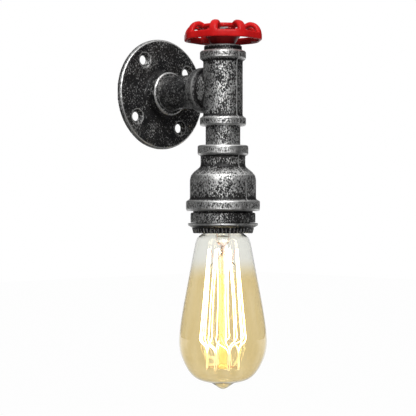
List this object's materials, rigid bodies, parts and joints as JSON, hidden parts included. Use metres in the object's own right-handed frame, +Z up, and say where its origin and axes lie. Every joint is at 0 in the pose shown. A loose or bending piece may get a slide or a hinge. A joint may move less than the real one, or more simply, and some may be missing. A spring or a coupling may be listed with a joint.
{
  "type": "wall light",
  "caption": "Wall light built from iron pipe fittings: a flange and arm carry a tee with a valve wheel on top and a bell reducer that holds a lampholder and a pear-shaped filament lamp.",
  "frame": {"origin": "centre of the wall flange's back face, on the wall", "axes": "+Y into the wall, +Z up, +X to the right of a viewer who faces the wall"},
  "size_m": [0.087, 0.1062, 0.2764],
  "materials": {
    "iron": "black paint with worn silvery edges",
    "holder_black": "satin black",
    "porcelain": "unglazed",
    "brass": "bright",
    "steel": "zinc plated",
    "red_enamel": "glossy red",
    "wire_brown": "matte",
    "wire_blue": "matte",
    "cap_brass": "bright",
    "black_glass": "glossy",
    "solder": "soft",
    "amber_glass": "clear amber",
    "stem_glass": "clear",
    "copper": "bright",
    "filament": "glowing"
  },
  "bodies": {
    "fixture": {"wall_flange": "iron", "arm_nipple": "iron", "tee": "iron", "drop_nipple": "iron", "reducer": "iron", "lampholder_shell": "holder_black", "lampholder_insulator": "porcelain", "screw_shell": "brass", "centre_contact": "brass", "shell_terminal": "brass", "terminal_screws": "steel", "shade_ring": "holder_black", "top_plug": "iron", "wire_live": "wire_brown", "wire_neutral": "wire_blue", "wire_ferrules": "steel"},
    "wheel": {"valve_stem": "steel", "stem_clip": "steel", "handwheel": "red_enamel", "wheel_washer": "steel", "wheel_nut": "steel"},
    "bulb": {"bulb_cap": "cap_brass", "bulb_insulator": "black_glass", "bulb_contact": "solder", "bulb_glass": "amber_glass", "bulb_stem": "stem_glass", "bulb_lead_wires": "copper", "bulb_supports": "copper", "bulb_filament": "filament"}
  },
  "joints": [
    {"name": "handwheel_spin", "type": "hinge", "parent": "fixture", "child": "wheel", "pos_m": [0, -0.073, 0.04], "axis": [0, 0, 1], "continuous": true},
    {"name": "bulb_unscrew", "type": "slide", "parent": "fixture", "child": "bulb", "axis": [0, 0, -1], "range_m": [0, 0.028]}
  ]
}
